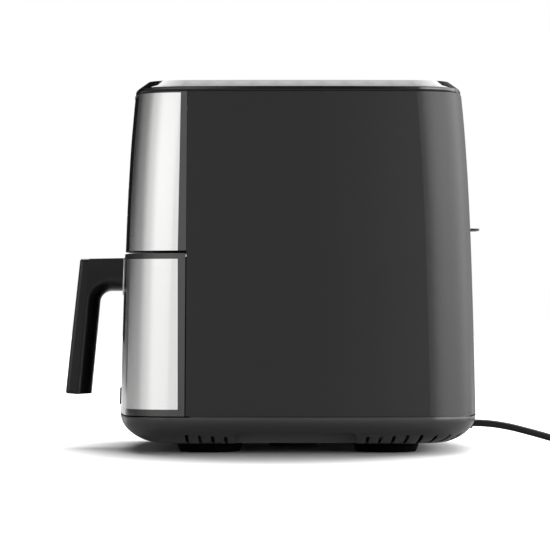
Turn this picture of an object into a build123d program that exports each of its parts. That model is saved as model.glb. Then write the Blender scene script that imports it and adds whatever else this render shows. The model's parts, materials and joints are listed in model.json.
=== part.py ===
from build123d import *
import math
import os

# A countertop air fryer with a pull-out drawer, built as separate pieces, in millimetres.
# +Z is up, the handle faces -Y, and the origin is on the table under the middle of the object.

# ---- Driving dimensions: outer body -------------------------------------------------------
HALF_WIDTH = 149.0            # half the width at the bottom seam
HALF_DEPTH = 155.15           # half the depth at the bottom seam
BODY_MID_Y = 22.45            # middle of the body in the direction of the drawer
END_BOW_RADIUS = 760.0        # front and rear faces bulge by this radius
SIDE_BOW_RADIUS = 1300.0
CORNER_RADIUS = 41.0
TAPER_START_Z = 32.0          # the sides lean in above this height
TAPER_SLOPE = 0.0255          # lean at the bottom, mm inward for each mm up
TAPER_CURVE = 9.7e-10         # and its growth with the fourth power of the height
SKIN_WALL = 2.5               # moulded shell
FRONT_WALL = 3.0              # moulded front pieces
STEEL_SHEET = 0.8
CENTRE_PLATE = 1.8
PLATE_PROUD = 1.2             # the handle and trim plates stand this far out of the front
PANEL_INSET = 0.5             # the control panel lies this far behind the steel beside it

# ---- Heights ------------------------------------------------------------------------------
FOOT_HEIGHT = 8.5
BASE_RIM_Z = 31.2
DOOR_BOTTOM_Z = 32.3
DOOR_TOP_Z = 169.1
DOOR_BAND_BELOW = 5.6         # gloss bands above and below the drawer's steel
DOOR_BAND_ABOVE = 4.8
UPPER_BOTTOM_Z = 171.3
UPPER_TOP_Z = 304.4
BODY_TOP_Z = 305.5
LIP_BOTTOM_Z = 305.8
LIP_TOP_Z = 309.4
TOP_Z = 315.4

# ---- Front parting lines ------------------------------------------------------------------
SEAM_Y_LOW = -72.7            # front edge of the side walls at the bottom and at the top
SEAM_Y_HIGH = -71.3
DOOR_GAP = 0.9                # drawer front to side wall
BEZEL_GAP = 0.3
STEEL_EDGE_Y = -79.3
STEEL_EDGE_TOP_Y = -76.9
CONTROL_HALF_WIDTH = 103.0    # the upper black panel
CENTRE_HALF_WIDTH = 86.0      # the drawer's black panel
STEEL_GAP = 0.2
SCREW_HEAD_RADIUS = 4.0

# ---- Base bowl ----------------------------------------------------------------------------
BOWL_RUN = 33.0               # the bowl's profile is a quarter of an ellipse this wide
BOWL_DROP = 23.0              # and this high, cut off level by the underside
BOWL_CORNER_SHRINK = 16.0
GRIP_BACK_X = 108.0
GRIP_Y = (-32.0, 71.0)
GRIP_TOP_Z = 18.2
SLOT_WIDTH = 2.8
SLOT_X = (117.0, 138.0)
FRONT_SLOTS_Y = (-71.4, -60.5, -49.7, -38.8)
REAR_SLOTS_Y = (79.7, 90.2, 101.2, 112.1)
CORNER_SLOTS = ((127.0, 123.5, 13.0), (124.5, 134.0, 25.0), (119.5, 143.5, 39.0), (112.0, 151.0, 53.0))
FOOT_X = 74.0
FOOT_Y = (-53.5, 97.5)
FOOT_TOP_RADIUS = 29.0
FOOT_BOTTOM_RADIUS = 25.5

# ---- Cooking space ------------------------------------------------------------------------
LINER_X = 120.0
LINER_Y = (-68.0, 126.0)
LINER_Z = (40.0, 183.0)
LINER_WALL = 1.0
PAN_X = 112.0
PAN_Y = (-98.0, 118.0)
PAN_Z = (46.0, 160.0)
PAN_WALL = 1.5
PAN_RIM = 4.5
PAN_CORNER = 24.0
PLATE_Z = 58.0
PLATE_THICK = 1.5
POCKET_X = 119.0              # pocket of the drawer front that takes the front of the pan
POCKET_Y = -103.6

# ---- Heater, fan and motor ----------------------------------------------------------------
AXIS_Y = 29.0
DOME_RADIUS = 92.0
DOME_FLANGE = 4.0
DOME_TOP_Z = 223.0
ELEMENT_RADII = (82.0, 66.0)
ELEMENT_TUBE = 3.2
ELEMENT_Z = 191.0
FAN_RADIUS = 58.0
FAN_Z = (199.0, 214.0)
SHAFT_RADIUS = 3.0
SHAFT_Z = (194.0, 294.0)
BUSH_CLEARANCE = 0.03
SHIELD_Z = 234.0
STATOR_Z = (248.0, 266.0)
ROTOR_RADIUS = 13.0
AIR_GAP = 0.4

# ---- Handle, in the plane x = 0 -----------------------------------------------------------
HANDLE_HALF_WIDTH = 17.5
HANDLE_COVER_DEPTH = 8.0
HANDLE_FRONT = ((-168.2, 165.5), (-181.1, 47.7))
HANDLE_REAR = ((-150.5, 137.4), (-158.9, 47.4))
HANDLE_BOTTOM = (-170.0, 47.0)
HANDLE_ARM_TOP_Z = 166.3
HANDLE_ROOM_END_Y = -134.4    # the hollow of the handle's arm ends here, at a thick wall
HANDLE_INNER_FILLET = 11.0

# ---- Rear ---------------------------------------------------------------------------------
GRILLE_HALF_WIDTH = 52.0
GRILLE_Z = (150.0, 189.6)
SPACER_Z = (190.1, 192.2)
SPACER_TIP_Y = 181.0
SPACER_HALF_WIDTH = 25.0

# ---- Cord ---------------------------------------------------------------------------------
CORD_DIAMETER = 6.4
CORD_EXIT = (0.0, 176.0, 21.5)
GLAND_LENGTH = 24.0           # the tapered sleeve, most of it inside the base
GLAND_RADII = (7.0, 4.6)
CORD_FLOOR_GAP = 0.2
COIL_CENTRE = (-39.6, 302.0)
COIL_RADII = (33.0, 39.6)     # middles of the inner and outer turns
COIL_STUB = 24.0
COIL_TAIL = 40.0

FAR = 400.0                   # a length beyond every face of the object


# ---- Shared shapes ------------------------------------------------------------------------
def block(x0, x1, y0, y1, z0, z1):
    """A box from its two corners."""
    middle = Pos((x0 + x1) / 2, (y0 + y1) / 2, (z0 + z1) / 2)
    return middle * Box(x1 - x0, y1 - y0, z1 - z0)


def post(x, y, z0, z1, radius):
    """An upright cylinder from z0 to z1."""
    return Pos(x, y, (z0 + z1) / 2) * Cylinder(radius, z1 - z0)


def rod_y(x, y0, y1, z, radius):
    """A cylinder lying along Y."""
    return Pos(x, (y0 + y1) / 2, z) * Rot(90, 0, 0) * Cylinder(radius, y1 - y0)


def prism_yz(points, half_width):
    """A side view outline, pushed out to both sides of x = 0."""
    flat = make_face(Polyline(*[(0, y, z) for y, z in points], close=True))
    return extrude(flat, half_width, dir=(1, 0, 0), both=True)


def both_sides(shape):
    """The shape and its mirror image across x = 0."""
    return [shape, mirror(shape, about=Plane.YZ)]


def rounded_block(x, y, z0, z1, corner):
    """A box with rounded upright edges; x and y are pairs."""
    flat = RectangleRounded(x[1] - x[0], y[1] - y[0], corner)
    middle = Pos((x[0] + x[1]) / 2, (y[0] + y[1]) / 2, z0)
    return extrude(middle * flat, z1 - z0)


def taper(z):
    """How far the skin has leaned in at height z."""
    up = z - TAPER_START_Z
    return TAPER_SLOPE * up + TAPER_CURVE * up**4


def plan(inset, corner, z):
    """The bowed and rounded plan of the body at height z, moved in by inset."""
    half_x = HALF_WIDTH - inset
    half_y = HALF_DEPTH - inset
    end_bow = END_BOW_RADIUS - inset
    side_bow = SIDE_BOW_RADIUS - inset
    corner_x = half_x
    corner_y = half_y
    for _ in range(6):
        corner_x = half_x - side_bow + math.sqrt(side_bow**2 - corner_y**2)
        corner_y = half_y - end_bow + math.sqrt(end_bow**2 - corner_x**2)
    sides = [
        ThreePointArc((-corner_x, -corner_y), (0, -half_y), (corner_x, -corner_y)),
        ThreePointArc((corner_x, -corner_y), (half_x, 0), (corner_x, corner_y)),
        ThreePointArc((corner_x, corner_y), (0, half_y), (-corner_x, corner_y)),
        ThreePointArc((-corner_x, corner_y), (-half_x, 0), (-corner_x, -corner_y)),
    ]
    flat = make_face(sides)
    return Pos(0, BODY_MID_Y, z) * fillet(flat.vertices(), corner)


def body_solid(depth):
    """The whole tapered body, with its skin moved in by depth."""
    heights = [30.0, 80.0, 130.0, 180.0, 225.0, 265.0, 307.0]
    return loft([plan(taper(z) + depth, CORNER_RADIUS - depth, z) for z in heights])


def bowl_inset(z):
    """How far the bowl has run in under the body at height z."""
    share = (BASE_RIM_Z - z) / BOWL_DROP
    return BOWL_RUN * (1 - math.sqrt(1 - share * share))


def bowl_solid(depth):
    """The base bowl below the body, with its skin moved in by depth."""
    sections = []
    for rise in (0.0, 0.5, 1.6, 4.0, 8.5, 15.0, BASE_RIM_Z - FOOT_HEIGHT):
        inset = bowl_inset(FOOT_HEIGHT + rise)
        corner = CORNER_RADIUS - BOWL_CORNER_SHRINK * inset / BOWL_RUN
        sections.append(plan(inset + depth, corner - depth, FOOT_HEIGHT + rise))
    return loft(sections)


def front_y(z):
    """Where the front skin is at height z, on the middle line."""
    return BODY_MID_Y - HALF_DEPTH + taper(z)


def rear_y(z):
    return BODY_MID_Y + HALF_DEPTH - taper(z)


def seam_y(z):
    """Front edge of the side walls at height z."""
    share = (z - DOOR_BOTTOM_Z) / (BODY_TOP_Z - DOOR_BOTTOM_Z)
    return SEAM_Y_LOW + share * (SEAM_Y_HIGH - SEAM_Y_LOW)


def ahead_of_seam(z0, z1, gap):
    """Everything in front of the side walls, between two heights."""
    points = [(-FAR, z0), (seam_y(z0) - gap, z0), (seam_y(z1) - gap, z1), (-FAR, z1)]
    return prism_yz(points, FAR)


SKIN = body_solid(0)
SKIN_STEEL = body_solid(STEEL_SHEET)
SKIN_CENTRE = body_solid(CENTRE_PLATE)
SKIN_WALLED = body_solid(SKIN_WALL)
SKIN_FRONT = body_solid(FRONT_WALL)
SKIN_PROUD = body_solid(-PLATE_PROUD)
SKIN_PANEL = body_solid(PANEL_INSET)


# ---- Housing: shell, top and base ---------------------------------------------------------
def make_body_shell():
    zone_points = [
        (seam_y(DOOR_BOTTOM_Z), DOOR_BOTTOM_Z),
        (FAR, DOOR_BOTTOM_Z),
        (FAR, BODY_TOP_Z),
        (seam_y(BODY_TOP_Z), BODY_TOP_Z),
    ]
    shell = (SKIN - SKIN_WALLED) & prism_yz(zone_points, FAR)
    window = block(-GRILLE_HALF_WIDTH, GRILLE_HALF_WIDTH, 100, FAR, GRILLE_Z[0], SPACER_Z[1])
    return shell - window


def make_top_cover():
    lip_inset = taper(LIP_BOTTOM_Z) + 0.8
    chamfer_run = 8.4
    ring_width = 16.0
    wall = 2.0
    corner = CORNER_RADIUS - 1.0
    lip = extrude(plan(lip_inset, corner, LIP_BOTTOM_Z), LIP_TOP_Z - LIP_BOTTOM_Z)
    low = plan(lip_inset, corner, LIP_TOP_Z)
    high = plan(lip_inset + chamfer_run, corner - chamfer_run / 2, TOP_Z)
    cover = lip + loft([low, high])
    hollow_low = plan(lip_inset + wall, corner - wall, LIP_BOTTOM_Z)
    hollow_high = plan(lip_inset + wall + chamfer_run, corner - wall - chamfer_run / 2, TOP_Z - wall)
    hollow = loft([hollow_low, hollow_high])
    opening = extrude(plan(lip_inset + ring_width, corner - ring_width / 2, 300), 30)
    return cover - hollow - opening


def make_top_panel():
    edge_inset = taper(LIP_BOTTOM_Z) + 0.8 + 16.0 + 0.15
    corner = CORNER_RADIUS - 1.0 - 8.0 - 0.15
    panel = extrude(plan(edge_inset, corner, TOP_Z - 3.0), 2.4)
    flange = extrude(plan(edge_inset - 5, corner, TOP_Z - 4.2), 1.2)
    return panel + flange


def base_slot(x, y, turn):
    """A cutter for one cooling slot of the bowl, running out from the middle."""
    length = SLOT_X[1] - SLOT_X[0]
    flat = SlotOverall(length, SLOT_WIDTH)
    return extrude(Pos(x, y, 3) * Rot(0, 0, turn) * flat, 17)


def base_slots():
    """Cutters for the slots of the right side, front and rear groups and the rear corner."""
    middle_x = (SLOT_X[0] + SLOT_X[1]) / 2
    cutters = []
    for i, y in enumerate(FRONT_SLOTS_Y):
        cutters.append(base_slot(middle_x, y, -4.5 + 0.5 * i))
    for i, y in enumerate(REAR_SLOTS_Y):
        cutters.append(base_slot(middle_x, y, 4.0 + 2.0 * i))
    for x, y, turn in CORNER_SLOTS:
        cutters.append(base_slot(x, y, turn))
    return cutters


def grip_cutter():
    """The finger recess under one side; its upper corners are rounded."""
    flat = Pos((GRIP_Y[0] + GRIP_Y[1]) / 2, 0) * RectangleRounded(GRIP_Y[1] - GRIP_Y[0], 2 * GRIP_TOP_Z, 5)
    upright = Plane(origin=(GRIP_BACK_X, 0, 0), x_dir=(0, 1, 0), z_dir=(1, 0, 0))
    return extrude(upright * flat, 60)


def make_base_pan():
    bowl = bowl_solid(0)
    room = bowl_solid(SKIN_WALL) & block(-FAR, FAR, -FAR, FAR, FOOT_HEIGHT + SKIN_WALL, FAR)
    deck = block(-FAR, FAR, -FAR, SEAM_Y_LOW + 2, BASE_RIM_Z - SKIN_WALL, BASE_RIM_Z)
    base = bowl - (room - deck)
    for cutter in both_sides(grip_cutter()):
        walled = offset(cutter, amount=SKIN_WALL) & bowl
        base = base + walled - cutter
    for slot in base_slots():
        for cutter in both_sides(slot):
            base = base - (cutter & block(-FAR, FAR, -FAR, FAR, 3, 18))
    locating_inset = SKIN_WALL + 0.4
    tongue = extrude(plan(locating_inset, CORNER_RADIUS - locating_inset, BASE_RIM_Z - 6), 11)
    tongue_room = extrude(plan(locating_inset + 2.2, CORNER_RADIUS - locating_inset - 2.2, BASE_RIM_Z - 6), 11)
    tongue = (tongue - tongue_room) & block(-FAR, FAR, SEAM_Y_LOW + 4, FAR, 0, FAR)
    base = base + (tongue & block(-FAR, FAR, -FAR, FAR, BASE_RIM_Z, FAR))
    ledge = (tongue & bowl) & block(-FAR, FAR, -FAR, FAR, BASE_RIM_Z - 6, BASE_RIM_Z)
    base = base + ledge
    for x in (-95, 95):
        for y in (-50, 105):
            base = base + post(x, y, FOOT_HEIGHT + 1, LINER_Z[0], 5)
    base = base - rod_y(CORD_EXIT[0], 150, 190, CORD_EXIT[2], GLAND_RADII[0] + 0.2)
    return base


def make_rubber_feet():
    feet = []
    for x in (-FOOT_X, FOOT_X):
        for y in FOOT_Y:
            foot = Pos(x, y, FOOT_HEIGHT / 2) * Cone(FOOT_BOTTOM_RADIUS, FOOT_TOP_RADIUS, FOOT_HEIGHT)
            feet.append(foot - post(x, y, -1, 2.5, 9))
    return feet


def make_foot_screws():
    screws = []
    for x in (-FOOT_X, FOOT_X):
        for y in FOOT_Y:
            screws.append(post(x, y, 0.8, 2.5, 4.5))
    return screws


def make_hub_cover():
    cover = Pos(0, 18.5, 0) * Pos(0, 0, (1.8 + FOOT_HEIGHT) / 2) * Cone(21, 25, FOOT_HEIGHT - 1.8)
    return cover


# ---- Fixed front pieces -------------------------------------------------------------------
def upper_steel_zone():
    """Side view zone of the upper steel, behind the centre panel and ahead of the edge strip."""
    low = UPPER_BOTTOM_Z
    high = UPPER_TOP_Z
    points = [(-FAR, low), (STEEL_EDGE_Y, low), (STEEL_EDGE_TOP_Y, high), (-FAR, high)]
    beside = block(CONTROL_HALF_WIDTH + STEEL_GAP, FAR, -FAR, FAR, low, high)
    return prism_yz(points, FAR) & beside


def make_upper_steel():
    """The right-hand corner wrap; the left one is its mirror image."""
    return (SKIN - SKIN_STEEL) & upper_steel_zone()


def make_control_panel():
    zone = block(-CONTROL_HALF_WIDTH, CONTROL_HALF_WIDTH, -FAR, 0, UPPER_BOTTOM_Z, UPPER_TOP_Z)
    return (SKIN_PANEL - SKIN_CENTRE) & zone


def make_front_bezel(upper_steel, control_panel):
    floor_thick = 2.2
    zone = ahead_of_seam(UPPER_BOTTOM_Z, BODY_TOP_Z, BEZEL_GAP)
    room = SKIN_FRONT & block(-FAR, FAR, -FAR, FAR, UPPER_BOTTOM_Z + floor_thick, FAR)
    bezel = (SKIN & zone) - room
    for steel in both_sides((SKIN - SKIN_STEEL) & upper_steel_zone()):
        bezel = bezel - steel
    slot_zone = block(-CONTROL_HALF_WIDTH - STEEL_GAP, CONTROL_HALF_WIDTH + STEEL_GAP,
                      -FAR, 0, UPPER_BOTTOM_Z, UPPER_TOP_Z + STEEL_GAP)
    bezel = bezel - ((SKIN - SKIN_CENTRE) & slot_zone)
    for x in (-46, 46):
        for z in (196, 284):
            stem = rod_y(x, -140, -113, z, 3.5) & SKIN_CENTRE
            bezel = bezel + stem
    return bezel


def make_control_board():
    board = block(-52, 52, -113, -111.4, 186, 294)
    for x in (-46, 46):
        for z in (196, 284):
            board = board - rod_y(x, -114, -110, z, 1.6)
    return board


def make_display_module():
    return [
        block(-32, 32, -118.5, -113, 232, 264),
        block(-20, 20, -111.4, -103, 200, 214),
        block(-8, 8, -111.4, -105, 270, 282),
    ]


def make_bulkhead():
    """The frame round the drawer's mouth, between the side walls."""
    slab = SKIN_WALLED & block(-FAR, FAR, LINER_Y[0] - 2.4, LINER_Y[0], DOOR_BOTTOM_Z + 5, LINER_Z[1] + 8)
    slab = slab & body_solid(SKIN_WALL + 0.1)
    mouth = block(-POCKET_X, POCKET_X, -FAR, FAR, LINER_Z[0] + 1.0, LINER_Z[1] - 1.0)
    plunger_hole = rod_y(128, -80, -60, 120, 3.5)
    return slab - mouth - plunger_hole


# ---- Cooking cavity -----------------------------------------------------------------------
def make_cavity_liner():
    outer = block(-LINER_X, LINER_X, LINER_Y[0], LINER_Y[1], LINER_Z[0], LINER_Z[1])
    inner = block(-LINER_X + LINER_WALL, LINER_X - LINER_WALL, LINER_Y[0] - 5, LINER_Y[1] - LINER_WALL,
                  LINER_Z[0] + LINER_WALL, LINER_Z[1] - LINER_WALL)
    liner = outer - inner
    liner = liner - post(0, AXIS_Y, LINER_Z[1] - 5, LINER_Z[1] + 5, DOME_RADIUS - 2)
    return liner - block(-46, 46, LINER_Y[1] - 5, LINER_Y[1] + 5, 153, 177)


def make_runners():
    rail = block(PAN_X + 1.3, LINER_X - LINER_WALL, LINER_Y[0], 122, 155, 158)
    return both_sides(rail)


def make_exhaust_duct():
    rear = rear_y(170) - SKIN_WALL - 3.0
    outer = block(-48, 48, LINER_Y[1], rear, 151, 179)
    return outer - block(-46, 46, LINER_Y[1] - 1, rear + 1, 153, 177)


def make_rear_grille():
    """Louvred outlet in the rear wall, with the lip that keeps it off a wall."""
    frame = (SKIN - SKIN_WALLED) & block(-GRILLE_HALF_WIDTH + 0.2, GRILLE_HALF_WIDTH - 0.2,
                                         100, FAR, GRILLE_Z[0] + 0.2, SPACER_Z[1] - 0.2)
    for i in range(7):
        z = GRILLE_Z[0] + 4.0 + 4.9 * i
        frame = frame - block(-46, 46, 100, FAR, z, z + 2.6)
    lip_flat = Pos(0, 155) * RectangleRounded(2 * SPACER_HALF_WIDTH, 2 * (SPACER_TIP_Y - 155), 6)
    lip = extrude(Pos(0, 0, SPACER_Z[0]) * lip_flat, SPACER_Z[1] - SPACER_Z[0] - 0.2)
    lip = lip & block(-FAR, FAR, rear_y(191) - 2.0, FAR, 0, FAR)
    return frame + lip


def make_heater_dome():
    outer = post(0, AXIS_Y, LINER_Z[1], DOME_TOP_Z, DOME_RADIUS)
    outer = outer + post(0, AXIS_Y, LINER_Z[1], LINER_Z[1] + 1, DOME_RADIUS + DOME_FLANGE)
    dome = outer - post(0, AXIS_Y, LINER_Z[1] - 1, DOME_TOP_Z - 1, DOME_RADIUS - 1)
    dome = dome - post(0, AXIS_Y, 200, 230, 9)
    for x, y in terminal_places():
        dome = dome - post(x, y, 215, 230, 6)
    sensor_x, sensor_y = sensor_place()
    return dome - post(sensor_x, sensor_y, 215, 230, 3)


def around(radius, degrees):
    """A point at this distance and angle from the fan's axis."""
    turn = math.radians(degrees)
    return (radius * math.cos(turn), AXIS_Y + radius * math.sin(turn))


TERMINAL_TURN = 14.0
BEND = 8.0


def terminal_places():
    """Where the two ends of the heating element come up through the dome."""
    turn = math.radians(TERMINAL_TURN)
    places = []
    for radius in ELEMENT_RADII:
        x, y = around(radius, TERMINAL_TURN)
        places.append((x + BEND * math.sin(turn), y - BEND * math.cos(turn)))
    return places


def sensor_place():
    return around(sum(ELEMENT_RADII) / 2, 205)


def make_heating_element():
    """One tube: up-leg, outer ring, turn back, inner ring, up-leg."""
    leg_top = DOME_TOP_Z + 7
    start = TERMINAL_TURN
    end = 360 - TERMINAL_TURN
    outer_radius, inner_radius = ELEMENT_RADII
    low = ELEMENT_Z
    diagonal = BEND * (1 - math.sqrt(0.5))
    start_turn = math.radians(start)
    end_turn = math.radians(end)
    edges = []
    for radius in ELEMENT_RADII:
        x, y = around(radius, start)
        leg_x = x + BEND * math.sin(start_turn)
        leg_y = y - BEND * math.cos(start_turn)
        middle_x = x + (BEND - diagonal) * math.sin(start_turn)
        middle_y = y - (BEND - diagonal) * math.cos(start_turn)
        edges.append(Line((leg_x, leg_y, leg_top), (leg_x, leg_y, low + BEND)))
        edges.append(ThreePointArc((leg_x, leg_y, low + BEND), (middle_x, middle_y, low + diagonal), (x, y, low)))
        opposite = around(radius, 180)
        finish = around(radius, end)
        edges.append(ThreePointArc((x, y, low), (*opposite, low), (*finish, low)))
    turn_x, turn_y = around((outer_radius + inner_radius) / 2, end)
    half = (outer_radius - inner_radius) / 2
    turn_middle = (turn_x - half * math.sin(end_turn), turn_y + half * math.cos(end_turn), low)
    back = ThreePointArc((*around(outer_radius, end), low), turn_middle, (*around(inner_radius, end), low))
    path = Wire(edges[:3] + [back] + edges[3:])
    top = Plane(origin=(*terminal_places()[0], leg_top), z_dir=(0, 0, -1))
    return sweep(top * Circle(ELEMENT_TUBE), path=path)


def make_terminal_insulators():
    sleeves = []
    for x, y in terminal_places():
        sleeve = post(x, y, DOME_TOP_Z - 3, DOME_TOP_Z + 5, 6)
        sleeves.append(sleeve - post(x, y, 200, 240, ELEMENT_TUBE))
    return sleeves


def make_element_clips():
    clips = []
    tube_top = ELEMENT_Z + ELEMENT_TUBE
    for degrees in (60, 180, 300):
        strap = block(60, DOME_RADIUS - 1.2, -3, 3, tube_top, tube_top + 1.2)
        tab = block(DOME_RADIUS - 2.4, DOME_RADIUS - 1.2, -3, 3, tube_top, tube_top + 9)
        clips.append(Pos(0, AXIS_Y, 0) * Rot(0, 0, degrees) * (strap + tab))
    return clips


def make_element_guard():
    flat = Circle(95) - Circle(87)
    for radius in (22, 38, 54, 70):
        flat = flat + (Circle(radius + 1.6) - Circle(radius - 1.6))
    flat = flat + (Circle(9) - Circle(4))
    for i in range(6):
        spoke = Rot(0, 0, 60 * i) * Pos(48, 0) * Rectangle(82, 4)
        flat = flat + spoke
    return extrude(Pos(0, AXIS_Y, LINER_Z[1] - LINER_WALL - 1.2) * flat, 1.2)


def make_temperature_sensor():
    x, y = sensor_place()
    probe = post(x, y, ELEMENT_Z - 6, DOME_TOP_Z + 6, 2.2)
    return probe + post(x, y, DOME_TOP_Z, DOME_TOP_Z + 2, 6)


def make_thermal_cutout():
    x, y = around(62, 120)
    return post(x, y, DOME_TOP_Z, DOME_TOP_Z + 7, 9) + block(x - 13, x + 13, y - 3, y + 3, DOME_TOP_Z, DOME_TOP_Z + 1)


def make_heat_shield():
    shield = block(-118, 118, AXIS_Y - 88, AXIS_Y + 96.2, SHIELD_Z, SHIELD_Z + 1.2)
    for x in (-118, 106):
        for y in (AXIS_Y - 88, AXIS_Y + 95):
            shield = shield + block(x, x + 12, y, y + 1.2, LINER_Z[1], SHIELD_Z + 1)
    return shield - post(0, AXIS_Y, SHIELD_Z - 5, SHIELD_Z + 5, 8)


# ---- Motor, fixed pieces ------------------------------------------------------------------
def at_axis(shape):
    return Pos(0, AXIS_Y, 0) * shape


def make_motor_brackets():
    lower = block(-10, 10, -28, 28, STATOR_Z[0] - 4, STATOR_Z[0] - 2) - post(0, 0, 200, 300, 7)
    upper = block(-10, 10, -28, 28, STATOR_Z[1] + 2, STATOR_Z[1] + 4) - post(0, 0, 200, 300, 7)
    for y in (-22, 22):
        lower = lower + post(0, y, STATOR_Z[0] - 2, STATOR_Z[0], 3.5)
        upper = upper + post(0, y, STATOR_Z[1], STATOR_Z[1] + 2, 3.5)
    return [at_axis(lower), at_axis(upper)]


def make_bushings():
    bushes = []
    for z in (STATOR_Z[0] - 9, STATOR_Z[1] + 1):
        bush = post(0, 0, z, z + 8, 7) - post(0, 0, z - 1, z + 9, SHAFT_RADIUS + BUSH_CLEARANCE)
        bushes.append(at_axis(bush))
    return bushes


def make_stator_core():
    core = block(-28, 52, -28, 28, *STATOR_Z)
    core = core - block(22, 40, -16, 16, STATOR_Z[0] - 1, STATOR_Z[1] + 1)
    core = core - post(0, 0, STATOR_Z[0] - 1, STATOR_Z[1] + 1, ROTOR_RADIUS + AIR_GAP)
    return at_axis(core)


def make_stator_coil():
    coil = block(34, 58, -15.5, 15.5, STATOR_Z[0] - 6, STATOR_Z[1] + 6)
    coil = fillet(coil.edges().filter_by(Axis.Y), 4)
    return at_axis(coil - block(40, 52, -28, 28, *STATOR_Z))


# ---- Motor, turning pieces ----------------------------------------------------------------
def make_motor_shaft():
    return at_axis(post(0, 0, *SHAFT_Z, SHAFT_RADIUS))


def make_rotor_core():
    return at_axis(post(0, 0, *STATOR_Z, ROTOR_RADIUS) - post(0, 0, 200, 300, SHAFT_RADIUS))


def blade_ring(count, inner, outer, z0, z1, lean, thick):
    """Flat blades round the axis, each leaning by the same angle."""
    blades = []
    height = (z1 - z0) / math.cos(math.radians(lean)) - 0.6
    for i in range(count):
        blade = Pos((inner + outer) / 2, 0, (z0 + z1) / 2) * Rot(lean, 0, 0) * Box(outer - inner, thick, height)
        blades.append(Rot(0, 0, 360 * i / count) * blade)
    return blades


def make_convection_fan():
    low, high = FAN_Z
    fan = post(0, 0, low, high, 11) + post(0, 0, high - 1.2, high, FAN_RADIUS)
    for blade in blade_ring(8, 9, FAN_RADIUS - 1, low, high - 0.5, 0, 1.2):
        fan = fan + blade
    return at_axis(fan - post(0, 0, 150, 300, SHAFT_RADIUS))


def make_fan_nut():
    nut = extrude(Pos(0, 0, SHAFT_Z[0] + 1) * RegularPolygon(6, 6), FAN_Z[0] - SHAFT_Z[0] - 1)
    return at_axis(nut - post(0, 0, 150, 300, SHAFT_RADIUS))


def make_cooling_fan():
    low = STATOR_Z[1] + 13
    high = low + 11
    fan = post(0, 0, low, high, 10)
    for blade in blade_ring(7, 8, 42, low, high, 35, 1.6):
        fan = fan + blade
    return at_axis(fan - post(0, 0, 150, 320, SHAFT_RADIUS))


# ---- Electronics and switch ---------------------------------------------------------------
BOARD_X = (64.0, 112.0)
BOARD_Y = (-48.0, 60.0)
BOARD_Z = 243.0


def make_shield_standoffs():
    """Spacers on the heat shield: two under the motor, four under the power board."""
    stands = [at_axis(post(0, y, SHIELD_Z + 1.2, STATOR_Z[0] - 4, 3)) for y in (-22, 22)]
    for x in (BOARD_X[0] + 5, BOARD_X[1] - 5):
        for y in (BOARD_Y[0] + 5, BOARD_Y[1] - 5):
            stands.append(post(x, y, SHIELD_Z + 1.2, BOARD_Z, 3))
    return stands


def make_power_board():
    return block(*BOARD_X, *BOARD_Y, BOARD_Z, BOARD_Z + 1.6)


def make_power_components():
    top = BOARD_Z + 1.6
    return [
        block(70, 94, -40, -20, top, top + 20),
        block(70, 88, -10, 8, top, top + 16),
        block(70, 82, 40, 54, top, top + 9),
        post(102, -30, top, top + 18, 6),
        post(102, 0, top, top + 14, 5),
        block(94, 108, 18, 46, top, top + 11),
    ]


SWITCH_X = 128.0
SWITCH_Z = 120.0
PLUNGER_RADIUS = 3.0


def make_door_switch():
    front = LINER_Y[0]
    body = block(SWITCH_X - 6, SWITCH_X + 6, front, front + 26, SWITCH_Z - 8, SWITCH_Z + 8)
    return body - rod_y(SWITCH_X, front - 1, front + 12, SWITCH_Z, PLUNGER_RADIUS + 0.3)


def make_switch_plunger():
    front = LINER_Y[0]
    return rod_y(SWITCH_X, front - 4.8, front + 8, SWITCH_Z, PLUNGER_RADIUS)


# ---- Drawer front -------------------------------------------------------------------------
DOOR_STEEL_Z = (DOOR_BOTTOM_Z + DOOR_BAND_BELOW, DOOR_TOP_Z - DOOR_BAND_ABOVE)


def make_drawer_steel():
    """The right-hand corner wrap of the drawer; the left one is its mirror image."""
    zone = block(CENTRE_HALF_WIDTH + STEEL_GAP, FAR, -FAR, STEEL_EDGE_Y, *DOOR_STEEL_Z)
    return (SKIN - SKIN_STEEL) & zone


def make_drawer_centre():
    zone = block(-CENTRE_HALF_WIDTH, CENTRE_HALF_WIDTH, -FAR, 0, *DOOR_STEEL_Z)
    return (SKIN - SKIN_CENTRE) & zone


def make_drawer_frame(drawer_steel):
    wall = 2.2
    room = SKIN_FRONT & block(-FAR, FAR, -FAR, FAR, DOOR_BOTTOM_Z + wall, DOOR_TOP_Z - wall)
    frame = (SKIN & ahead_of_seam(DOOR_BOTTOM_Z, DOOR_TOP_Z, DOOR_GAP)) - room
    for steel in both_sides(drawer_steel):
        frame = frame - steel
    centre_zone = block(-CENTRE_HALF_WIDTH - STEEL_GAP, CENTRE_HALF_WIDTH + STEEL_GAP, -FAR, 0, *DOOR_STEEL_Z)
    frame = frame - ((SKIN - SKIN_CENTRE) & centre_zone)
    pan_mouth = block(-POCKET_X - 2, POCKET_X + 2, POCKET_Y - 2, 0, 150, 200)
    return frame - pan_mouth


def make_drawer_inner_cover():
    wall = 2.0
    back = seam_y(DOOR_BOTTOM_Z) - DOOR_GAP
    z0 = DOOR_BOTTOM_Z + 2.3
    z1 = DOOR_TOP_Z - 2.3
    plate = body_solid(FRONT_WALL + 0.1) & block(-FAR, FAR, back - 2, back, z0, z1)
    pocket_z = PAN_Z[0] - 5
    outer = block(-POCKET_X - wall, POCKET_X + wall, POCKET_Y - wall, back, pocket_z - wall, z1)
    inner = block(-POCKET_X, POCKET_X, POCKET_Y, FAR, pocket_z, FAR)
    return (plate + outer) - inner


def make_trim_plate():
    zone = block(-23, 23, -FAR, 0, DOOR_STEEL_Z[0] + 0.6, 53)
    return (SKIN_PROUD - SKIN) & zone


def make_handle_plate():
    zone = block(-24, 24, -FAR, 0, 134, DOOR_TOP_Z - 2.5)
    return (SKIN_PROUD - SKIN) & zone


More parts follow.
